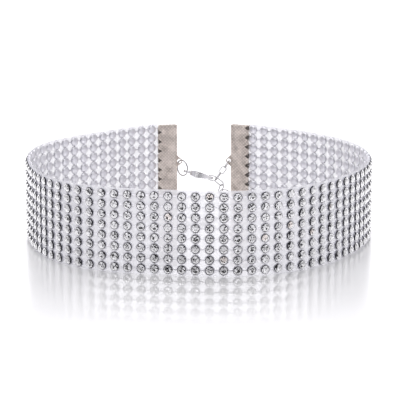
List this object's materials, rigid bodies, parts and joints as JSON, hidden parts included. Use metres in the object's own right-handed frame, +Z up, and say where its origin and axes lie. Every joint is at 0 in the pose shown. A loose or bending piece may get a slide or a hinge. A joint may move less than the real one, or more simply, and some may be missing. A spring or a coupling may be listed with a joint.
{
  "type": "choker necklace",
  "caption": "Wide choker of soldered rows of round stones in cup chain, with crimped ends, a lobster clasp and an extender chain, standing as a closed loop.",
  "frame": {"origin": "middle of the outer box of the loop, on the surface that the choker stands on", "axes": "+Z up through the neck opening, -Y towards the front of the choker, +Y towards the clasp, +X to the right seen from the front"},
  "size_m": [0.1038, 0.1008, 0.0241],
  "materials": {
    "cup_chain": "bright silver plated cups holding clear foil-backed stones",
    "crimp": "warm grey nickel sheet with a fine diagonal knurl",
    "findings": "polished silver plate"
  },
  "bodies": {
    "choker": {"stone_row_1": "cup_chain", "stone_row_2": "cup_chain", "stone_row_3": "cup_chain", "stone_row_4": "cup_chain", "stone_row_5": "cup_chain", "stone_row_6": "cup_chain", "stone_row_7": "cup_chain", "stone_row_8": "cup_chain", "left_crimp_end": "crimp", "right_crimp_end": "crimp", "jump_ring": "findings", "clasp_body": "findings", "extender_chain": "findings"},
    "lever": {"clasp_lever": "findings"}
  },
  "joints": [
    {"name": "lever_hinge", "type": "hinge", "parent": "choker", "child": "lever", "pos_m": [-0.00099, 0.04619, 0.0079], "axis": [-0.2446, -0.168, -0.955], "range_deg": [0, 20], "stiffness_Nm_per_rad": 0.002}
  ]
}
